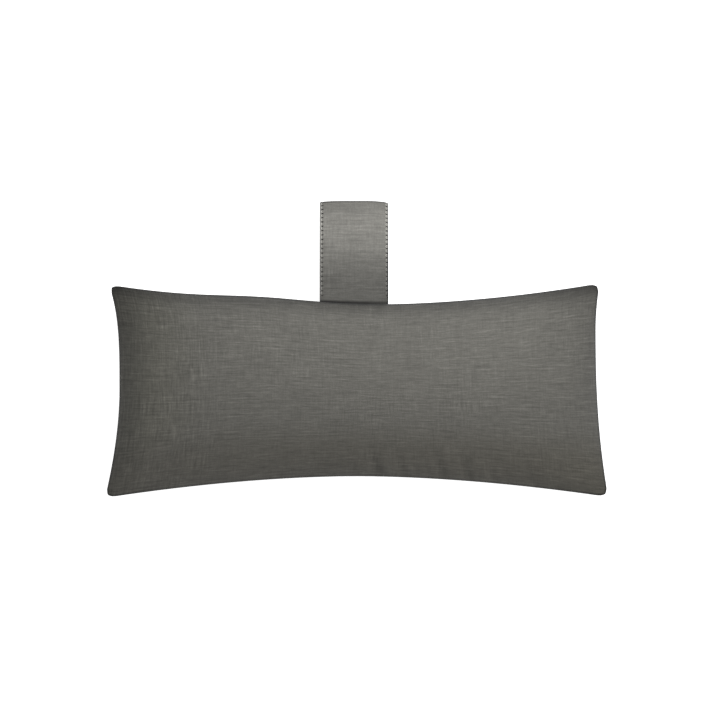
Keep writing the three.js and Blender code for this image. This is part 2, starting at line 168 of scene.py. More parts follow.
def new_object(name, points, faces, attributes=None):
    """A mesh object, smooth except at its sharp edges, with named point attributes."""
    mesh = bpy.data.meshes.new(name)
    mesh.from_pydata([tuple(p) for p in points], [], faces)
    mesh.validate()
    mesh.polygons.foreach_set("use_smooth", [True] * len(mesh.polygons))
    for key, values in (attributes or {}).items():
        values = np.asarray(values, np.float32)
        kind = "FLOAT_VECTOR" if values.ndim == 2 else "FLOAT"
        field = "vector" if values.ndim == 2 else "value"
        mesh.attributes.new(key, kind, "POINT").data.foreach_set(field, values.ravel())
    mesh.update()
    made = bpy.data.objects.new(name, mesh)
    bpy.context.scene.collection.objects.link(made)
    return made


def sharpen(piece, degrees=50):
    """Marks edges as sharp where the faces beside them turn more than so many degrees."""
    piece.data.set_sharp_from_angle(angle=math.radians(degrees))


def grid_faces(rows, columns, first=0, flip=False):
    """Quads of a grid of points stored row by row."""
    faces = []
    for i in range(rows - 1):
        for j in range(columns - 1):
            a = first + i * columns + j
            quad = (a, a + 1, a + columns + 1, a + columns)
            faces.append(quad[::-1] if flip else quad)
    return faces


def perimeter(rows, columns):
    """Indices round a grid's edge, anticlockwise seen with +column as X and +row as Y."""
    bottom = list(range(columns))
    right = [i * columns + columns - 1 for i in range(1, rows)]
    top = [(rows - 1) * columns + j for j in range(columns - 2, -1, -1)]
    left = [i * columns for i in range(rows - 2, 0, -1)]
    return bottom + right + top + left


def band_faces(ring_a, ring_b, flip=False):
    """Quads between two closed rings of indices of equal count."""
    count = len(ring_a)
    faces = []
    for k in range(count):
        n = (k + 1) % count
        quad = (ring_a[k], ring_a[n], ring_b[n], ring_b[k])
        faces.append(quad[::-1] if flip else quad)
    return faces


def shell(top, rings, bottom, flip=False):
    """Points and faces of a closed shell: a grid, the rings that lead off its edge, and a second grid."""
    rows, columns = top.shape[:2]
    parts = [top.reshape(-1, 3), *rings, bottom.reshape(-1, 3)]
    starts = [int(start) for start in np.cumsum([0] + [len(part) for part in parts])]
    edge = perimeter(rows, columns)
    loops = [edge]
    loops += [list(range(start, start + len(edge))) for start in starts[1:-2]]
    loops.append([starts[-2] + k for k in edge])
    faces = grid_faces(rows, columns, flip=flip)
    for a, b in zip(loops, loops[1:]):
        faces += band_faces(b, a, flip=flip)
    faces += grid_faces(rows, columns, starts[-2], flip=not flip)
    return np.concatenate(parts), faces


def square(name, half):
    """A flat square on the table's plane."""
    corners = [(-half, -half, 0), (half, -half, 0), (half, half, 0), (-half, half, 0)]
    return new_object(name, corners, [(0, 1, 2, 3)])


def smooth_step(value, low, high):
    """0 up to low, 1 from high on, and a smooth rise between them."""
    t = np.clip((value - low) / (high - low), 0, 1)
    return t * t * (3 - 2 * t)


def fade(distance, width, power=2):
    """1 at no distance, falling off over a width."""
    return np.exp(-((distance / width) ** power))


# ---------------------------------------------------------------- the cover's form

def pulled_in(v, waist_v, pull):
    """How far a short side stands out past its waist."""
    (above, above_power), (below, below_power) = pull
    up = np.maximum(v - waist_v, 0) / (1 - waist_v)
    down = np.maximum(waist_v - v, 0) / (1 + waist_v)
    return above * up ** above_power + below * down ** below_power


def plan(u, v):
    """(u, v) to the cover's plan: sides pulled in between corners, and the corners rounded."""
    left = LEFT_WAIST_X + pulled_in(v, 0, LEFT_PULL)
    right = RIGHT_WAIST_X + pulled_in(v, RIGHT_WAIST_V, RIGHT_PULL)
    middle_x = (right - left) / 2
    half_x = (right + left) / 2
    shoulder = SHOULDER_RISE * fade(u * half_x + middle_x - SHOULDER_X, SHOULDER_WIDTH)
    top = TOP_WAIST_Y + np.where(u < 0, *TOP_PULL) * np.abs(u) ** np.where(u < 0, *TOP_POWER) + shoulder
    bottom = BOTTOM_WAIST_Y + np.where(u < 0, *BOTTOM_PULL) * np.abs(u) ** BOTTOM_POWER
    middle_y = (top - bottom) / 2
    half_y = (top + bottom) / 2
    x = np.abs(u) * half_x
    y = np.abs(v) * half_y
    past_x = x - (half_x - CORNER_RADIUS)
    past_y = y - (half_y - CORNER_RADIUS)
    in_corner = (past_x > 0) & (past_y > 0)
    reach = np.maximum(np.hypot(past_x, past_y), 1e-9)
    pull = np.maximum(past_x, past_y) / reach
    x = np.where(in_corner, half_x - CORNER_RADIUS + past_x * pull, x)
    y = np.where(in_corner, half_y - CORNER_RADIUS + past_y * pull, y)
    return middle_x + np.sign(u) * x, middle_y + np.sign(v) * y


def seam_height(u, v):
    """The seam's height: level along the sides, and lower at the corners."""
    return SEAM_Z - CORNER_DROOP * np.abs(u * v) ** 3


def fullness(u, v):
    """The share of the crown that the stuffed cover has at a place: 1 at its middle, 0 at the seam."""
    full = (1 - np.abs(u) ** LENGTH_POWER) * (1 - np.abs(v) ** HEIGHT_POWER)
    return np.maximum(full, 0) ** CROWN_POWER


def inset_of(u, v):
    """How far a point is inside the seam line, along the cloth."""
    return np.minimum((1 - np.abs(u)) * CUT_HALF_X, (1 - np.abs(v)) * CUT_HALF_Y)


def inward(u, v, amount):
    """(u, v) moved in from the seam."""
    return u * (1 - amount / WAIST_X), v * (1 - amount / BOTTOM_WAIST_Y)


def seam_ring(u, v, amount, height):
    """Points round a grid's edge, moved in from the seam, at a height off the seam line."""
    inner_u, inner_v = inward(u, v, amount)
    x, y = plan(inner_u, inner_v)
    points = np.stack([x, y, seam_height(inner_u, inner_v) + height], -1)
    return points.reshape(-1, 3)[perimeter(*u.shape)]


def full_form(u, v, share, least_height):
    """Both panels filled to a share of their crowns, and the back flattened on the table."""
    x, y = plan(u, v)
    crown = share * fullness(u, v)
    front = np.stack([x, y, seam_height(u, v) + FRONT_CROWN * crown], -1)
    back = np.stack([x, y, np.maximum(least_height, seam_height(u, v) - BACK_CROWN * crown)], -1)
    return front, back


def simulated_cover():
    """Both panels as grids of points over (u, v), stuffed and lying on the table."""
    columns, rows = SIM_GRID
    u, v = np.meshgrid(np.linspace(-1, 1, columns), np.linspace(-1, 1, rows))
    whole_front, whole_back = full_form(u, v, 1, 0)
    front, back = full_form(u, v, SIM_FULLNESS, 1 * MM)

    # one closed mesh: the front's grid, then the back's inner points, with the seam ring shared
    ring = set(perimeter(rows, columns))
    inner = [k for k in range(rows * columns) if k not in ring]
    index_back = np.arange(rows * columns)
    index_back[inner] = rows * columns + np.arange(len(inner))
    points = np.concatenate([front.reshape(-1, 3), back.reshape(-1, 3)[inner]])
    faces = grid_faces(rows, columns)
    faces += [tuple(int(index_back[k]) for k in quad) for quad in grid_faces(rows, columns, flip=True)]
    bag = new_object("bag", points, faces)

    bag.shape_key_add(name="Basis")
    cut = bag.shape_key_add(name="cut")
    flat = np.stack([u * CUT_HALF_X, v * CUT_HALF_Y, np.full_like(u, SEAM_Z)], -1).reshape(-1, 3)
    cut.data.foreach_set("co", np.concatenate([flat, flat[inner]]).astype(np.float32).ravel())
    cut.value = 0
    held = bag.vertex_groups.new(name="seam")
    held.add([int(k) for k in sorted(ring)], 1.0, "REPLACE")

    floor = square("sim_floor", 1)
    floor.modifiers.new("Collision", "COLLISION")
    floor.collision.thickness_outer = 1 * MM

    cloth = bag.modifiers.new("Cloth", "CLOTH")
    settings = cloth.settings
    settings.quality = 7
    settings.mass = 0.2
    settings.air_damping = 2
    settings.tension_stiffness = 60
    settings.compression_stiffness = 30
    settings.shear_stiffness = 15
    settings.bending_stiffness = 2
    settings.tension_damping = 15
    settings.compression_damping = 15
    settings.shear_damping = 15
    settings.use_pressure = True
    settings.uniform_pressure_force = 6
    settings.vertex_group_mass = "seam"
    settings.rest_shape_key = cut
    settings.effector_weights.gravity = 0
    cloth.collision_settings.distance_min = 1 * MM
    cloth.collision_settings.use_self_collision = False
    cloth.point_cache.frame_start = 1
    cloth.point_cache.frame_end = SIM_FRAMES
    scene = bpy.context.scene
    for number in range(1, SIM_FRAMES + 1):
        scene.frame_set(number)
    shaped = bag.evaluated_get(bpy.context.evaluated_depsgraph_get())
    moved = np.zeros(len(points) * 3, np.float32)
    shaped.data.vertices.foreach_get("co", moved)
    moved = moved.reshape(-1, 3).astype(float)
    scene.frame_set(1)
    for used in (bag, floor):
        mesh = used.data
        bpy.data.objects.remove(used)
        bpy.data.meshes.remove(mesh)

    results = []
    for index, whole in ((np.arange(rows * columns), whole_front), (index_back, whole_back)):
        shift = moved[index].reshape(rows, columns, 3) - whole
        length = np.maximum(np.linalg.norm(shift, axis=-1, keepdims=True), 1e-9)
        results.append(whole + shift / length * SIM_REACH * np.tanh(length / SIM_REACH))
    return results


def spline_weights(count, places):
    """A Catmull-Rom matrix from values at `count` even stations over -1 to 1 to the places given."""
    weights = np.zeros((len(places), count))
    for row, place in enumerate(places):
        at = (place + 1) / 2 * (count - 1)
        i = min(int(at), count - 2)
        t = at - i
        basis = (
            (-t ** 3 + 2 * t ** 2 - t) / 2,
            (3 * t ** 3 - 5 * t ** 2 + 2) / 2,
            (-3 * t ** 3 + 4 * t ** 2 + t) / 2,
            (t ** 3 - t ** 2) / 2,
        )
        for k, share in zip(range(i - 1, i + 3), basis):
            if k < 0:
                weights[row, 0] += 2 * share
                weights[row, 1] -= share
            elif k >= count:
                weights[row, count - 1] += 2 * share
                weights[row, count - 2] -= share
            else:
                weights[row, k] += share
    return weights


def sample(grid, us, vs):
    """A grid of points, interpolated at every pair of the stations given."""
    across = spline_weights(grid.shape[1], us)
    along = spline_weights(grid.shape[0], vs)
    return np.einsum("ij,jkc,lk->ilc", along, grid, across)


def grid_lines(half, pitch=3.6 * MM):
    """Stations from -1 to 1, closer together beside the seam."""
    insets = np.array([0, 0.25, 0.7, 1.4, 2.6, 4.4, 7.0]) * MM
    edge = 1 - insets / half
    inner = edge[-1]
    count = int(round(2 * inner * half / pitch))
    middle = np.linspace(-inner, inner, count + 1)
    return np.concatenate([-edge[:-1], middle, edge[:-1][::-1]])


def strap_share(u, v):
    """1 where the seam opens for the strap, 0 away from it."""
    x, _ = plan(u, v)
    off = np.abs(x - STRAP_X) - STRAP_HALF
    return (1 - smooth_step(off, 0.8 * MM, 5 * MM)) * (v > 0) * smooth_step(v, 0.7, 0.85)


def waves(values, lengths, rng):
    """A sum of sines with the wavelengths given, between about -1 and 1."""
    total = np.zeros_like(values)
    for length in lengths:
        total += np.sin(2 * np.pi * values / length + rng.uniform(0, 2 * np.pi))
    return total / len(lengths)


def puckers(u, v, side):
    """Small gathers beside the seam, larger at the hand-closed opening and to the right of it."""
    rng = np.random.default_rng(SEED + (1 if side < 0 else 0))
    cut_x, cut_y = u * CUT_HALF_X, v * CUT_HALF_Y
    from_long = (1 - np.abs(v)) * CUT_HALF_Y
    from_end = (1 - np.abs(u)) * CUT_HALF_X
    long_wave = waves(cut_x + 0.3 * from_long, (23 * MM, 31 * MM, 13 * MM), rng)
    end_wave = waves(cut_y + 0.3 * from_end, (19 * MM, 27 * MM, 12 * MM), rng)
    opened = smooth_step(cut_x, CLOSING[0] - 25 * MM, CLOSING[0])
    closed = smooth_step(cut_x, CLOSING[1], CLOSING[1] + 25 * MM)
    closing = (v < 0) * opened * (1 - closed)
    beyond = (v < 0) * closed * (1 - smooth_step(cut_x, 150 * MM, 200 * MM))
    strength = (0.35 + 1.5 * closing + 1.1 * beyond) * MM
    reach = (7 + 2 * closing) * MM

    def near(distance, width):
        """0 at the seam, 1 at a width from it, and falling off beyond."""
        return (distance / width) * np.exp(1 - distance / width)

    return strength * near(from_long, reach) * long_wave + 0.3 * MM * near(from_end, 9 * MM) * end_wave


def seam_gap(u, v):
    """Half the gap between the panels at the seam nearby."""
    return SEAM_GAP + (STRAP_GAP - SEAM_GAP) * strap_share(u, v)


def off_grid(u, v, side, rounding=1):
    """How far a panel stands off its simulated grid: its half of the gap, its round edge and its gathers."""
    gap = seam_gap(u, v) * fade(inset_of(u, v), GAP_WIDTH, 1)
    return side * (gap + SEAM_ROUND * rounding + puckers(u, v, side))


def cover_panel(name, grid, side):
    """One panel, a closed shell: its outside, its turned-in seam allowance, and its inside."""
    us, vs = grid_lines(WAIST_X), grid_lines(BOTTOM_WAIST_Y)
    u, v = np.meshgrid(us, vs)
    inset = inset_of(u, v)
    surface = sample(grid, us, vs)
    surface[..., 2] += off_grid(u, v, side, 1 - fade(inset, SEAM_ROUND_WIDTH, 1))

    inner_us, inner_vs = inward(us, vs, TURN)
    inner_u, inner_v = np.meshgrid(inner_us, inner_vs)
    inside = sample(grid, inner_us, inner_vs)
    normal = np.cross(np.gradient(inside, axis=1), np.gradient(inside, axis=0))
    normal /= np.maximum(np.linalg.norm(normal, axis=-1, keepdims=True), 1e-12)
    if side < 0:
        surface[..., 2] = np.maximum(surface[..., 2], 0)
        inside[..., 2] = np.maximum(inside[..., 2], 0)
    inside[..., 2] += off_grid(inner_u, inner_v, side)
    inside -= normal * CLOTH * side
    if side < 0:
        inside[..., 2] = np.maximum(inside[..., 2], CLOTH)

    gap = seam_gap(u, v)
    allowance = ((LIP, 0), (LIP, CLOTH), (TURN, CLOTH))
    rings = [seam_ring(u, v, amount, side * (gap + height)) for amount, height in allowance]
    points, faces = shell(surface, rings, inside, flip=side < 0)

    edge = perimeter(*u.shape)
    depth = BACK_CUT if side < 0 else 0
    cut = np.stack([u * CUT_HALF_X, v * CUT_HALF_Y, np.full_like(u, depth)], -1).reshape(-1, 3)
    # the seam's painted shade, times the gathers' painted light and shade
    shade = (seam_painted_shade(inset, u, v) * (1 + PUCKER_LIGHT_AND_SHADE * side * puckers(u, v, side))).reshape(-1)
    attributes = {
        key: np.concatenate([values] + [values[edge]] * len(rings) + [values])
        for key, values in (("cut", cut), ("shade", shade))
    }
    return new_object(name, points, faces, attributes)


def seam_painted_shade(inset, u, v):
    """The cover's painted shade: a tight dark line beside the seam, and soft bands of painted shade along the
    upper seam, towards the bottom, at the ends and in the upper corners.
    """
    from_left, from_right = (1 + u) * WAIST_X, (1 - u) * WAIST_X
    from_top = (1 - v) * CUT_HALF_Y
    off_middle = np.abs(u)
    # painted shade in the seam's crease: a tight dark line and a wider faint one
    tight = 0.74 * fade(inset, 1.6 * MM) + 0.08 * fade(inset, 9 * MM)
    top = 0.38 + 0.12 * smooth_step(off_middle, 0.15, 0.4) + 0.1 * smooth_step(off_middle, 0.65, 0.9)
    top = top * fade(from_top, 13 * MM)
    bottom = 0.1 * smooth_step(-v, 0.3, 0.7)
    left_end = 0.31 * (1 - 0.45 * smooth_step(-v, 0.5, 0.85)) * fade(from_left, 26 * MM, 3)
    ends = left_end + 0.06 * fade(from_right, 40 * MM)
    left_corner = 0.2 * fade(from_left, 68 * MM) * smooth_step(v, 0.1, 0.7)
    right_corner = 0.14 * fade(from_right, 50 * MM) * smooth_step(v, 0.4, 0.9)
    # each band takes painted shade off the cloth's lightness
    tone = 1
    for lost in (tight, top, bottom, ends, left_corner + right_corner):
        tone = tone * (1 - lost)
    return tone


def fibre_filling(front, back):
    """The stuffing: it fills the cover, with a groove for the turned-in seam allowances."""
    us, vs = inward(np.linspace(-1, 1, 81), np.linspace(-1, 1, 37), FILLING_INSET)
    u, v = np.meshgrid(us, vs)
    rng = np.random.default_rng(SEED)
    lumps = waves(u * CUT_HALF_X, (17 * MM, 41 * MM), rng) * waves(v * CUT_HALF_Y, (13 * MM, 29 * MM), rng)
    top, bottom = sample(front, us, vs), sample(back, us, vs)
    swell = SEAM_ROUND - TURN + 0.3 * MM * lumps
    top[..., 2] += swell
    bottom[..., 2] = np.maximum(bottom[..., 2] - swell, CLOTH + 0.5 * MM)

    clear = STRAP_GAP + CLOTH + 0.4 * MM
    deep = LIP + 1 * MM - FILLING_INSET
    groove = ((0, clear), (deep, clear), (deep, -clear), (0, -clear))
    rings = [seam_ring(u, v, amount, height) for amount, height in groove]
    return new_object("fibre_stuffing", *shell(top, rings, bottom))


# ---------------------------------------------------------------- threads

def tube(points, radii, sides=8, flatten=1.0, up=(0, 0, 1)):
    """Points and faces of a closed tube along a path, with a radius at each point, flattened along up."""
    points = np.asarray(points, float)
    radii = np.broadcast_to(np.asarray(radii, float), (len(points),))
    tangent = np.gradient(points, axis=0)
    tangent /= np.linalg.norm(tangent, axis=1, keepdims=True)
    side = np.cross(tangent, np.broadcast_to(np.asarray(up, float), points.shape))
    side /= np.linalg.norm(side, axis=1, keepdims=True)
    above = np.cross(side, tangent)
    angle = 2 * np.pi * np.arange(sides) / sides
    cosine, sine = np.cos(angle)[None, :, None], np.sin(angle)[None, :, None]
    spokes = cosine * side[:, None] + flatten * sine * above[:, None]
    rings = points[:, None] + radii[:, None, None] * spokes
    loops = np.arange(len(points) * sides).reshape(len(points), sides).tolist()
    faces = []
    for a, b in zip(loops, loops[1:]):
        faces += band_faces(a, b)
    faces += [tuple(loops[0][::-1]), tuple(loops[-1])]
    return rings.reshape(-1, 3), faces


def joined(name, parts, tones=None):
    """One object from parts that each have points and faces, and can each have a tone of painted shade."""
    points, faces, shade, first = [], [], [], 0
    for (part_points, part_faces), tone in zip(parts, tones or [1.0] * len(parts)):
        points.append(part_points)
        faces += [tuple(first + i for i in face) for face in part_faces]
        shade += [tone] * len(part_points)
        first += len(part_points)
    return new_object(name, np.concatenate(points), faces, {"shade": np.array(shade)})


def seam_line(count=1600):
    """Points round the seam, anticlockwise from its lower left corner, evenly spaced."""
    t = np.linspace(-1, 1, 400, endpoint=False)
    u = np.concatenate([t, np.ones_like(t), -t, -np.ones_like(t)])
    v = np.concatenate([-np.ones_like(t), t, np.ones_like(t), -t])
    u, v = inward(u, v, 0.35 * MM)
    x, y = plan(u, v)
    line = np.stack([x, y, seam_height(u, v)], -1)
    step = np.linalg.norm(np.diff(line, axis=0, append=line[:1]), axis=1)
    length = np.concatenate([[0], np.cumsum(step)])
    wanted = np.linspace(0, length[-1], count, endpoint=False)
    closed = np.concatenate([line, line[:1]])
    return np.stack([np.interp(wanted, length, closed[:, k]) for k in range(3)], -1)


def seam_threads():
    """The thread in the seam: one run on each side of the strap, and the hand-closed stretch."""
    line = seam_line()
    x, y = line[:, 0], line[:, 1]
    closing = np.nonzero((y < 0) & (x > CLOSING[0]) & (x < CLOSING[1]))[0]
    strap = np.nonzero((y > 0) & (np.abs(x - STRAP_X) < STRAP_HALF + 1.5 * MM))[0]
    left_run = np.concatenate([line[strap[-1] + 2:], line[:closing[0] - 1]])
    runs = {
        "seam_thread_right_run": (line[closing[-1] + 2:strap[0] - 1], 2.6 * MM),
        "seam_thread_left_run": (left_run, 2.6 * MM),
        "closing_thread": (line[closing], 6.5 * MM),
    }
    made = {}
    for name, (points, pitch) in runs.items():
        along = np.arange(len(points)) * np.linalg.norm(points[1] - points[0])
        radius = (0.24 + 0.08 * np.cos(2 * np.pi * along / pitch) ** 2) * MM
        made[name] = joined(name, [tube(points, radius, sides=6)])
    return made


# ---------------------------------------------------------------- the strap

def strap_path():
    """Arc lengths, points and outward normals along the strap's middle, from the hinge to the tail's end."""
    t = np.linspace(0, 1, RUN_COUNT)
    y, z = ((1 - t) ** 2 * a + 2 * t * (1 - t) * b + t ** 2 * c for a, b, c in zip(HINGE, RUN_BEND, RUN_END))
    angle = np.linspace(FOLD_FROM, -math.pi / 2, 200)[1:]
    fold_y = FOLD[0] + FOLD_RADIUS * np.cos(angle)
    fold_z = FOLD[1] + FOLD_RADIUS * np.sin(angle)
    tail_y = np.linspace(FOLD[0], TAIL_END_Y, 300)[1:]
    tail_z = np.full_like(tail_y, FOLD[1] - FOLD_RADIUS)
    y = np.concatenate([[HINGE[0] - ROOT_DEPTH], y, fold_y, tail_y])
    z = np.concatenate([[HINGE[1]], z, fold_z, tail_z])
    points = np.stack([y, z], -1)
    step = np.linalg.norm(np.diff(points, axis=0), axis=1)
    length = np.concatenate([[0], np.cumsum(step)]) - ROOT_DEPTH
    tangent = np.gradient(points, length, axis=0)
    tangent /= np.linalg.norm(tangent, axis=1, keepdims=True)
    return length, points, np.stack([-tangent[:, 1], tangent[:, 0]], -1)


PATH_LENGTH, PATH_POINTS, PATH_NORMALS = strap_path()
STRAP_TOTAL = float(PATH_LENGTH[-1])
RUN_LENGTH = float(PATH_LENGTH[RUN_COUNT])
FOLD_LENGTH = FOLD_RADIUS * (FOLD_FROM + math.pi / 2)


def strap_point(x, s, n):
    """x across the strap from its middle, s along it and n off its middle surface, to the frame."""
    y, z = (np.interp(s, PATH_LENGTH, PATH_POINTS[:, k]) for k in (0, 1))
    normal_y, normal_z = (np.interp(s, PATH_LENGTH, PATH_NORMALS[:, k]) for k in (0, 1))
    middle_of_fold = RUN_LENGTH + FOLD_LENGTH / 2
    crown = 1 - smooth_step(np.abs(s - middle_of_fold), 6 * MM, 70 * MM)
    across = x / STRAP_HALF
    y = y + crown * (FOLD_REACH - FOLD_CROWN * across ** 4 * (1 + 0.3 * across))
    return np.stack(np.broadcast_arrays(STRAP_X + x, y + n * normal_y, z + n * normal_z), -1)


def plate_bulge(x, s):
    """How far the lining stands off its flat place over the counterweight plate."""
    low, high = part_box("counterweight_plate")
    y = TAIL_END_Y + (STRAP_TOTAL - s)
    on_tail = s > RUN_LENGTH + FOLD_LENGTH
    off_x = np.maximum(low.x - (STRAP_X + x), (STRAP_X + x) - high.x)
    off_y = np.maximum(low.y - y, y - high.y)
    outside = np.hypot(np.maximum(off_x, 0), np.maximum(off_y, 0))
    height = high.z + PLATE_PLAY - LAYER - 2 * LAYER_GAP
    return np.where(on_tail, height * (1 - smooth_step(outside, 0.6 * MM, 4.4 * MM)), 0)


def stitch_rows():
    """The edge rows' distance off the middle and holes along s, then the cross rows' holes along x and s."""
    side = STRAP_HALF - STITCH_INSET
    first, last = STITCH_START, STRAP_TOTAL - STITCH_INSET
    count = int(round((last - first) / STITCH_PITCH))
    edge_holes = first + np.arange(count + 1) * (last - first) / count
    cross = int(round(2 * side / STITCH_PITCH))
    cross_holes = -side + np.arange(cross + 1) * 2 * side / cross
    past_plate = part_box("counterweight_plate")[1].y + CROSS_ROW_GAP
    return side, edge_holes, cross_holes, (STRAP_TOTAL - (past_plate - TAIL_END_Y), last)


def needle_holes(off, along, holes):
    """1 in the needle holes of a row and 0 between them, from the distances off the row and along it."""
    pitch = holes[1] - holes[0]
    phase = (along - holes[0]) / pitch
    near = (phase - np.round(phase)) * pitch
    return 1 - smooth_step(np.hypot(off / HOLE_SIZE[0], near / HOLE_SIZE[1]), 0.55, 1.45)


def stitch_marks(x, s):
    """The groove that the stitching pulls in the cloth, and the needle holes in it, which are painted dark as
    painted shade, each from 0 to 1.
    """
    side, edge_holes, cross_holes, cross_rows = stitch_rows()
    groove = np.zeros(np.broadcast(x, s).shape)
    hole = np.zeros_like(groove)
    begun = smooth_step(s, STITCH_START - 2 * MM, STITCH_START)
    for sign in (-1, 1):
        off = x - sign * side
        # the left row's needle holes get less painted shade towards the seam
        clear = 0.75 + 0.25 * smooth_step(s, 30 * MM, 85 * MM) if sign < 0 else 1
        groove = np.maximum(groove, begun * fade(off, GROOVE_WIDTH))
        hole = np.maximum(hole, begun * clear * needle_holes(off - HOLE_SHIFT, s, edge_holes))
    within = 1 - smooth_step(np.abs(x), side, side + 1 * MM)
    for row in cross_rows:
        groove = np.maximum(groove, within * fade(s - row, GROOVE_WIDTH))
        hole = np.maximum(hole, within * needle_holes(s - row, x, cross_holes))
    return groove, hole


def strap_columns():
    """Stations across the strap, closer together at its edges and stitch rows."""
    edge = [0, 0.12, 0.35, 0.65, 0.95, 1.2, 1.45, 1.7, 1.95, 2.2, 2.45, 2.7, 3.0, 3.5, 4.5, 6.5, 9]
    left = -STRAP_HALF + np.array(edge) * MM
    middle = np.linspace(left[-1], -left[-1], 21)[1:-1]
    return np.concatenate([left, middle, -left[::-1]])


def strap_rows(start, stop):
    """Stations along the strap, close enough together for the needle holes."""
    count = int(math.ceil((stop - start) / (STITCH_PITCH / 10)))
    rows = np.linspace(start, stop, count + 1)
    if stop == STRAP_TOTAL:
        fine = stop - np.array([3.0, 2.6, 2.2, 1.8, 1.4, 1.05, 0.7, 0.35, 0.12]) * MM
        rows = np.unique(np.concatenate([rows[rows < stop - 3.3 * MM], fine, [stop]]))
    return rows


def strap_light_and_shade(x, s, side):
    """The strap's painted light and shade: the outer face painted lighter towards the fold, a painted shadow
    line where the strap leaves the seam, a painted dark rim along the fold's apex, and painted shade along the
    right edge near the root.
    """
    _, seam_y = plan((STRAP_X + x) / WAIST_X, np.ones_like(x))
    # painted shadow where the strap comes out of the seam
    root = fade(s - 0.55 * (seam_y - HINGE[0]), 1.7 * MM)
    root = root * (0.9 - 0.18 * smooth_step(x, 5 * MM, 30 * MM))
    # painted shade along the fold's apex, where it turns away
    apex = np.abs(s - RUN_LENGTH - FOLD_RADIUS * FOLD_FROM)
    rim = 1 - smooth_step(apex, 2.2 * MM, 3.4 * MM)
    # painted shade along the right edge, near the root
    right_edge = smooth_step(x, STRAP_HALF - 1.9 * MM, STRAP_HALF - 0.9 * MM)
    right_edge = right_edge * (1 - smooth_step(s, 40 * MM, 62 * MM))
    tone = (1 - root) * (1 - 0.58 * rim) * (1 - 0.65 * right_edge)
    if side < 0:
        return tone
    # painted light: the outer face lighter towards the fold and darker towards the root, fading out on the
    # tail's underside
    painted_light_to_fold = 0.76 + 0.82 * smooth_step(s, 12 * MM, 84 * MM) - 0.3 * smooth_step(s, 86 * MM, 104 * MM)
    under = smooth_step(s, RUN_LENGTH + FOLD_LENGTH / 2, RUN_LENGTH + FOLD_LENGTH + 10 * MM)
    return tone * (painted_light_to_fold + (1 - painted_light_to_fold) * under)


def strap_layer(name, start, stop, side):
    """One cloth layer of the strap between two arc lengths: side 1 is the outer one, -1 the lining."""
    x, s = np.meshgrid(strap_columns(), strap_rows(start, stop))
    from_edge = STRAP_HALF - np.abs(x)
    if stop == STRAP_TOTAL:
        from_edge = np.minimum(from_edge, STRAP_TOTAL - s)
    turned = np.clip(from_edge / LAYER_EDGE, 0, 1)
    rounding = np.sqrt(1 - (1 - turned) ** 2)
    groove, hole = stitch_marks(x, s)
    rng = np.random.default_rng(SEED + 3)
    swell = 0.12 * MM * waves(s, (37 * MM, 23 * MM), rng) * np.cos(np.pi * x / (2 * STRAP_HALF))
    swell = swell * smooth_step(s, 0, 15 * MM) * (1 - smooth_step(s, RUN_LENGTH - 20 * MM, RUN_LENGTH))
    bulge = plate_bulge(x, s) if side < 0 else 0

    outside = LAYER_GAP + LAYER * rounding - GROOVE_DEPTH * groove - HOLE_DEPTH * hole
    inside = np.minimum(LAYER_GAP * 0.6, outside - 0.05 * MM)
    grids = [strap_point(x, s, side * (height + bulge) + swell) for height in (outside, inside)]
    for grid in grids:
        grid[..., 2] = np.maximum(grid[..., 2], 0)
    points, faces = shell(grids[0], [], grids[1], flip=side < 0)

    cut_x, cut_s, cut_depth = STRAP_CUT
    cut = np.stack([x + cut_x, s + cut_s, np.full_like(x, side * cut_depth)], -1).reshape(-1, 3)
    # painted shade: the needle holes and the layers' rounded edges are painted darker
    shade = (strap_light_and_shade(x, s, side) * (1 - 0.97 * hole) * (1 - 0.12 * (1 - rounding))).reshape(-1)
    attributes = {"cut": np.concatenate([cut, cut]), "shade": np.concatenate([shade, shade])}
    return new_object(name, points, faces, attributes)


def stitch(x0, s0, x1, s1, side, bow=0.0):
    """One stitch between two needle holes on one face of the strap, bowed towards -X."""
    t = np.linspace(0, 1, 9)
    length = math.hypot(x1 - x0, s1 - s0)
    trim = (1 - STITCH_LENGTH / length) / 2
    share = trim + t * (1 - 2 * trim)
    arch = np.sin(np.pi * t)
    x = x0 + (x1 - x0) * share - bow * arch ** 0.7
    s = s0 + (s1 - s0) * share
    height = LAYER_GAP + LAYER - 0.42 * MM + 0.36 * MM * arch ** 0.6
    path = strap_point(x, s, side * height)
    ahead = strap_point(x, s, side * (height + 1 * MM))
    up = (ahead - path)[len(t) // 2]
    radii = STITCH_RADIUS * (0.35 + 0.65 * arch ** 0.45)
    points, faces = tube(path, radii, sides=8, flatten=0.8, up=up)
    points[:, 2] = np.maximum(points[:, 2], 0)
    return points, faces


def edge_row(name, sign):
    """The stitches along one edge, on both faces of the strap."""
    side, holes, _, _ = stitch_rows()
    parts, tones = [], []
    x = sign * side + HOLE_SHIFT
    for a, b in zip(holes, holes[1:]):
        parts += [stitch(x, a, x, b, face, STITCH_BOW) for face in (1, -1)]
        tones += [stitch_painted_shade((a + b) / 2, sign), 1.0]
    return joined(name, parts, tones)


def stitch_painted_shade(s, sign):
    """Painted shade on the outer stitches: darker towards the seam, and more so along the right edge."""
    if sign < 0:
        return float(0.65 + 0.43 * smooth_step(s, 30 * MM, 85 * MM))
    return float(0.42 + 0.74 * smooth_step(s, 20 * MM, 62 * MM))


def cross_row(name, number):
    """The stitches across the tail, on both its faces."""
    _, _, holes, rows = stitch_rows()
    s = rows[number]
    parts = []
    for a, b in zip(holes[1:-2], holes[2:-1]):
        parts += [stitch(a, s, b, s, face) for face in (1, -1)]
    return joined(name, parts)


# ---------------------------------------------------------------- materials

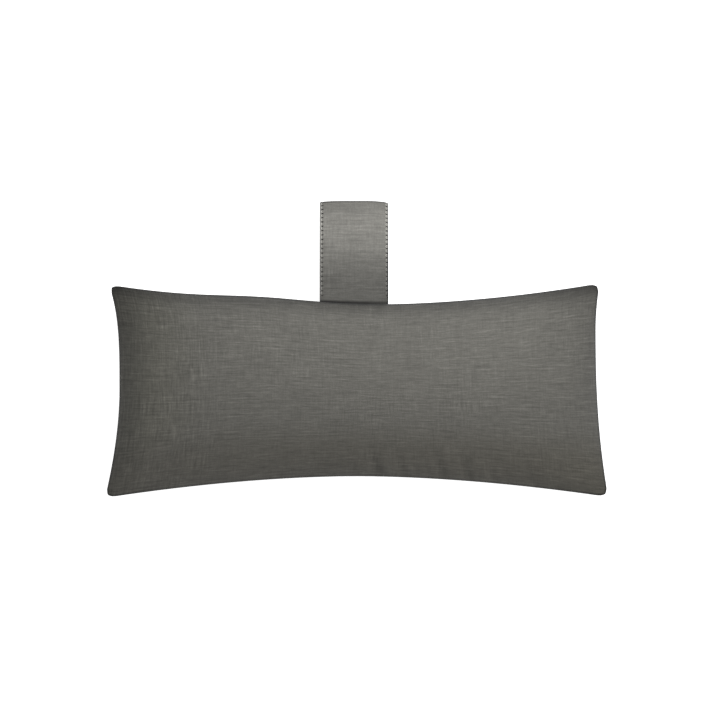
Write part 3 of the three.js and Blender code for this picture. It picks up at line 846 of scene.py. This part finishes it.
def set_inputs(tree, node, values):
    """Links the sockets given to a node's inputs, and sets the constants."""
    for key, value in values.items():
        if isinstance(value, bpy.types.NodeSocket):
            tree.links.new(value, node.inputs[key])
        else:
            node.inputs[key].default_value = value


def add_node(tree, kind, values=None, **settings):
    """A node with its settings, and values or links for its inputs."""
    node = tree.nodes.new(kind)
    for key, value in settings.items():
        setattr(node, key, value)
    set_inputs(tree, node, values or {})
    return node


def math_node(tree, operation, *values):
    return add_node(tree, "ShaderNodeMath", dict(enumerate(values)), operation=operation).outputs[0]


def multiply(tree, a, b):
    return math_node(tree, "MULTIPLY", a, b)


def add(tree, a, b):
    return math_node(tree, "ADD", a, b)


def multiply_add(tree, value, factor, addend):
    """value * factor + addend."""
    return math_node(tree, "MULTIPLY_ADD", value, factor, addend)


def peaks(tree, value):
    """A value times its own size, so that only its highs and lows stand out."""
    return multiply(tree, value, math_node(tree, "ABSOLUTE", value))


def ramp(tree, value, ends, results, kind="LINEAR"):
    """A value between two ends, mapped to two results and held there beyond them."""
    span = {"Value": value, "From Min": ends[0], "From Max": ends[1], "To Min": results[0], "To Max": results[1]}
    return add_node(tree, "ShaderNodeMapRange", span, interpolation_type=kind).outputs[0]


def noise(tree, vector, scale, detail=1.0, roughness=0.5):
    """Noise between about -1 and 1, stretched by a scale of its own along each axis."""
    mapping = add_node(tree, "ShaderNodeMapping", {"Vector": vector, "Scale": scale})
    values = {"Vector": mapping.outputs[0], "Scale": 1.0, "Detail": detail, "Roughness": roughness}
    texture = add_node(tree, "ShaderNodeTexNoise", values)
    return ramp(tree, texture.outputs[0], (0.3, 0.7), (-1.0, 1.0))


def split(tree, vector):
    """A vector's X, Y and Z sockets."""
    return add_node(tree, "ShaderNodeSeparateXYZ", {0: vector}).outputs


def weave(tree, vector, pitch):
    """A plain weave's height, between -1 and 1."""
    turns = 2 * math.pi / pitch
    across, along = (math_node(tree, "SINE", multiply(tree, axis, turns)) for axis in split(tree, vector)[:2])
    return multiply(tree, across, along)


def new_material(name):
    """A material, its node tree and its shader, joined to the output."""
    material = bpy.data.materials.new(name)
    material.use_nodes = True
    tree = material.node_tree
    tree.nodes.clear()
    shader = tree.nodes.new("ShaderNodeBsdfPrincipled")
    output = tree.nodes.new("ShaderNodeOutputMaterial")
    tree.links.new(shader.outputs[0], output.inputs[0])
    return material, tree, shader


def attribute(tree, name, output):
    return add_node(tree, "ShaderNodeAttribute", attribute_name=name).outputs[output]


def object_place(tree):
    return add_node(tree, "ShaderNodeTexCoord").outputs["Object"]


def tinted(tree, colour, factor):
    """A colour times a factor, as a colour socket."""
    return add_node(tree, "ShaderNodeVectorMath", {0: colour, 3: factor}, operation="SCALE").outputs[0]


def bumped(tree, height, strength, distance):
    values = {"Height": height, "Strength": strength, "Distance": distance}
    return add_node(tree, "ShaderNodeBump", values).outputs[0]


def warm_tint(tree, x, y):
    """A warmer tint, with less green and blue: along the cover's lower edge, most at its right, and at its left
    end.
    """
    lower = ramp(tree, y, (-85 * MM, -30 * MM), (1.0, 0.0), "SMOOTHSTEP")
    lower = multiply(tree, lower, ramp(tree, x, (-240 * MM, 240 * MM), (0.9, 1.9)))
    left = ramp(tree, x, (-225 * MM, -150 * MM), (1.0, 0.0), "SMOOTHSTEP")
    green = multiply_add(tree, lower, -0.015, 1.0)
    blue = multiply_add(tree, math_node(tree, "MAXIMUM", lower, left), -0.05, 1.01)
    return add_node(tree, "ShaderNodeCombineXYZ", {0: 1.0, 1: green, 2: blue}).outputs[0]


def linen_material(name, colour, slubs=1.0):
    """Linen-look canvas: slubs along the weft and the warp, a fine plain weave, and soft mottling."""
    material, tree, shader = new_material(name)
    cut = attribute(tree, "cut", "Vector")
    x, y, _ = split(tree, cut)
    weft = noise(tree, cut, (100, 620, 9))
    warp = noise(tree, cut, (620, 80, 9))
    weft_slub = peaks(tree, noise(tree, cut, (26, 520, 9)))
    warp_slub = peaks(tree, noise(tree, cut, (520, 32, 9)))
    patches = noise(tree, cut, (14, 11, 5))
    mottle = noise(tree, cut, (24, 30, 7), detail=3.0)
    lint = noise(tree, cut, (650, 650, 9))
    fine = weave(tree, cut, 1.3 * MM)

    # the warp shows most at the cover's left end, and comes and goes in patches
    left_end = ramp(tree, x, (-190 * MM, -120 * MM), (1.0, 0.45), "SMOOTHSTEP")
    warp_share = multiply_add(tree, patches, 0.2, left_end)
    weft_all = add(tree, multiply(tree, weft, 0.8), multiply(tree, weft_slub, 1.3))
    warp_all = add(tree, multiply(tree, warp, 0.8), multiply(tree, warp_slub, 1.1))
    threads = add(tree, weft_all, multiply(tree, warp_all, warp_share))

    factor = multiply(tree, threads, 0.142 * slubs)
    for layer, strength in ((fine, 0.05), (lint, 0.075), (mottle, 0.035)):
        factor = add(tree, factor, multiply(tree, layer, strength))
    factor = multiply_add(tree, factor, multiply_add(tree, factor, 0.8, 1.0), 1.0)
    # painted light and shade, from the shade attribute
    factor = multiply(tree, factor, attribute(tree, "shade", "Fac"))
    tone = {0: tinted(tree, colour, factor), 1: warm_tint(tree, x, y)}
    height = add(tree, multiply(tree, threads, 0.5), multiply(tree, fine, 0.5))
    set_inputs(tree, shader, {
        "Base Color": add_node(tree, "ShaderNodeVectorMath", tone, operation="MULTIPLY").outputs[0],
        "Normal": bumped(tree, height, 0.6, 0.25 * MM),
        "Roughness": multiply_add(tree, threads, -0.05, 0.82),
        "Specular IOR Level": 0.25,
        "Sheen Weight": 0.12,
        "Sheen Roughness": 0.5,
    })
    return material


def thread_material(name, colour):
    """Twisted sewing thread: fine slanting plies, a little uneven in tone."""
    material, tree, shader = new_material(name)
    place = object_place(tree)
    ply = noise(tree, place, (2600, 900, 2600))
    tone = noise(tree, place, (60, 60, 60), detail=2.0)
    factor = multiply_add(tree, ply, 0.12, multiply_add(tree, tone, 0.06, 1.0))
    # the stitches' painted shade, from the shade attribute
    factor = multiply(tree, factor, attribute(tree, "shade", "Fac"))
    set_inputs(tree, shader, {
        "Base Color": tinted(tree, colour, factor),
        "Normal": bumped(tree, ply, 0.5, 0.08 * MM),
        "Roughness": multiply_add(tree, ply, 0.08, 0.62),
        "Sheen Weight": 0.1,
    })
    return material


def fibre_material():
    """Polyester stuffing: white, matt, and tangled."""
    material, tree, shader = new_material("fibre_look")
    tangle = noise(tree, object_place(tree), (380, 240, 300), detail=4.0, roughness=0.7)
    set_inputs(tree, shader, {
        "Base Color": tinted(tree, FIBRE, multiply_add(tree, tangle, 0.06, 1.0)),
        "Normal": bumped(tree, tangle, 0.8, 1.2 * MM),
        "Roughness": multiply_add(tree, tangle, 0.04, 0.93),
    })
    return material


def steel_material():
    """Mill-finish steel plate: brushed along Y, with faint stains."""
    material, tree, shader = new_material("steel_look")
    place = object_place(tree)
    brushed = noise(tree, place, (1400, 25, 900), detail=3.0)
    stains = noise(tree, place, (45, 60, 45), detail=4.0)
    factor = multiply_add(tree, brushed, 0.08, multiply_add(tree, stains, 0.09, 1.0))
    set_inputs(tree, shader, {
        "Base Color": tinted(tree, STEEL, factor),
        "Metallic": 1.0,
        "Normal": bumped(tree, brushed, 0.3, 0.05 * MM),
        "Roughness": multiply_add(tree, stains, 0.09, 0.42),
    })
    return material


def paint(piece, material):
    piece.data.materials.clear()
    piece.data.materials.append(material)


# ---------------------------------------------------------------- the studio

def make_studio():
    """The camera straight above the pillow, a white table, a white sky and one soft light."""
    scene = bpy.context.scene
    camera_data = bpy.data.cameras.new("camera")
    camera_data.sensor_width = SENSOR
    camera_data.lens = SENSOR * CAMERA_DISTANCE / VIEW_WIDTH
    camera_data.clip_end = 10 * CAMERA_DISTANCE
    camera = bpy.data.objects.new("camera", camera_data)
    camera.location = (*VIEW_CENTRE, SEAM_Z + CAMERA_DISTANCE)
    scene.collection.objects.link(camera)
    scene.camera = camera

    floor = square("floor", FLOOR_HALF)
    floor.location.z = -0.2 * MM
    material, tree, shader = new_material("floor_look")
    seen = tree.nodes.new("ShaderNodeLightPath").outputs["Is Camera Ray"]
    set_inputs(tree, shader, {
        "Base Color": (0.9, 0.9, 0.9, 1),
        "Roughness": 0.9,
        "Specular IOR Level": 0.1,
        "Emission Color": (1, 1, 1, 1),
        "Emission Strength": multiply(tree, seen, FLOOR_GLOW),
    })
    floor.data.materials.append(material)

    world = bpy.data.worlds.new("studio")
    scene.world = world
    world.use_nodes = True
    background = world.node_tree.nodes["Background"]
    set_inputs(world.node_tree, background, {"Color": (1, 1, 1, 1), "Strength": SKY})

    softbox("key", KEY_PLACE, KEY_SIZE, KEY_WATTS)
    scene.view_settings.view_transform = "Standard"
    scene.view_settings.look = "None"


def softbox(name, place, size, watts):
    """An area light that looks at the frame's origin."""
    data = bpy.data.lights.new(name, "AREA")
    data.shape = "RECTANGLE"
    data.size, data.size_y = size
    data.energy = watts
    light = bpy.data.objects.new(name, data)
    light.location = place
    light.rotation_euler = (-light.location).to_track_quat("-Z", "Y").to_euler()
    light.visible_camera = False
    bpy.context.scene.collection.objects.link(light)


# ---------------------------------------------------------------- the object

def build():
    """Every piece of the visual model, painted, and tied to the CAD model's bodies and nodes."""
    linen = linen_material("linen_look", LINEN)
    strap_linen = linen_material("strap_linen_look", STRAP_LINEN, STRAP_SLUBS)
    thread = thread_material("thread_look", THREAD)
    seam_thread = thread_material("seam_thread_look", SEAM_THREAD)

    front_grid, back_grid = simulated_cover()
    front = cover_panel("pillow_front", front_grid, 1)
    back = cover_panel("pillow_back", back_grid, -1)
    filling = fibre_filling(front_grid, back_grid)
    for piece, node in ((front, "front_panel"), (back, "back_panel")):
        sharpen(piece)
        paint(piece, linen)
        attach(piece, "pillow")
        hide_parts(node)
    sharpen(filling)
    paint(filling, fibre_material())
    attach(filling, "pillow")
    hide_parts("fibre_fill")

    threads = seam_threads()
    nodes = {
        "seam_thread_right_run": "seam_thread_right",
        "seam_thread_left_run": "seam_thread_left",
        "closing_thread": "closing_seam_thread",
    }
    for name, piece in threads.items():
        paint(piece, seam_thread)
        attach(piece, "pillow")
        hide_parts(nodes[name])

    root_face = strap_layer("strap_root_face", -ROOT_DEPTH, ROOT_END, 1)
    root_lining = strap_layer("strap_root_lining", -ROOT_DEPTH, ROOT_END, -1)
    for piece in (root_face, root_lining):
        sharpen(piece)
        paint(piece, strap_linen)
        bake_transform(piece)
        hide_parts("strap_root")

    outer = strap_layer("strap_outer_cloth", ROOT_END, STRAP_TOTAL, 1)
    inner = strap_layer("strap_inner_cloth", ROOT_END, STRAP_TOTAL, -1)
    left = edge_row("left_edge_stitches", -1)
    right = edge_row("right_edge_stitches", 1)
    for piece, replaced in (
        (outer, ("strap_face", "tail_face")),
        (inner, ("strap_lining", "tail_lining")),
        (left, ("strap_left_stitching", "tail_left_stitching")),
        (right, ("strap_right_stitching", "tail_right_stitching")),
    ):
        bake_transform(piece)
        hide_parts(*replaced)
    for piece in (outer, inner):
        sharpen(piece)
        paint(piece, strap_linen)

    cross = cross_row("pocket_cross_stitches", 0)
    hem = cross_row("end_hem_stitches", 1)
    for piece, node in ((cross, "pocket_cross_stitching"), (hem, "end_hem_stitching")):
        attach(piece, "tail")
        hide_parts(node)
    for piece in (left, right, cross, hem):
        paint(piece, thread)

    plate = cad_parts["counterweight_plate"]
    plate.data.materials.clear()
    plate.data.materials.append(steel_material())


make_studio()
build()
